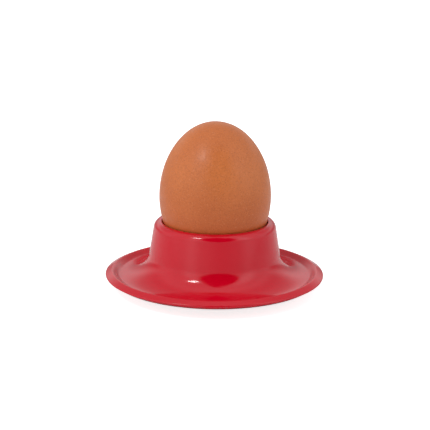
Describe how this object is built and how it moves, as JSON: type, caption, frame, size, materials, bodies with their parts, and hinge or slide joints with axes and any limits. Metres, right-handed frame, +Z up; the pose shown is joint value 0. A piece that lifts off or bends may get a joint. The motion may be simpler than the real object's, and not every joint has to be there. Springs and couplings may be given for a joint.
{
  "type": "egg cup with boiled egg",
  "caption": "Glossy red egg cup with a saucer brim, holding a brown hen's egg that lifts out; the egg is layered from its shell to its yolk.",
  "frame": {"origin": "on the cup's axis, on the plane that its foot ring stands on", "axes": "+Z up along the axis of the cup and of the egg; +X and +Y are any two directions across it, and +X is the side of the yolk on which the germinal disc lies"},
  "size_m": [0.085, 0.085, 0.0654],
  "materials": {
    "egg_cup": "glossy red melamine, moulded in one piece",
    "eggshell": null,
    "outer_shell_membrane": "off-white shell membrane, fibrous, damp",
    "inner_shell_membrane": "off-white shell membrane, fibrous, damp",
    "outer_thin_white": "cooked egg white, soft sheen",
    "thick_white": "cooked egg white, soft sheen",
    "inner_thin_white": "cooked egg white, soft sheen",
    "chalaza_pointed_end": "firm white cord",
    "chalaza_blunt_end": "firm white cord",
    "yolk": "cooked yolk, crumbly, orange yellow",
    "latebra": "pale cooked yolk",
    "germinal_disc": "pale cooked yolk"
  },
  "bodies": {
    "cup": {"egg_cup": "egg_cup"},
    "egg": {"eggshell": "eggshell", "outer_shell_membrane": "outer_shell_membrane", "inner_shell_membrane": "inner_shell_membrane", "outer_thin_white": "outer_thin_white", "thick_white": "thick_white", "inner_thin_white": "inner_thin_white", "chalaza_pointed_end": "chalaza_pointed_end", "chalaza_blunt_end": "chalaza_blunt_end", "yolk": "yolk", "latebra": "latebra", "germinal_disc": "germinal_disc"}
  },
  "joints": [
    {"name": "egg_lift", "type": "slide", "parent": "cup", "child": "egg", "axis": [0, 0, 1], "range_m": [0, 0.05]}
  ]
}
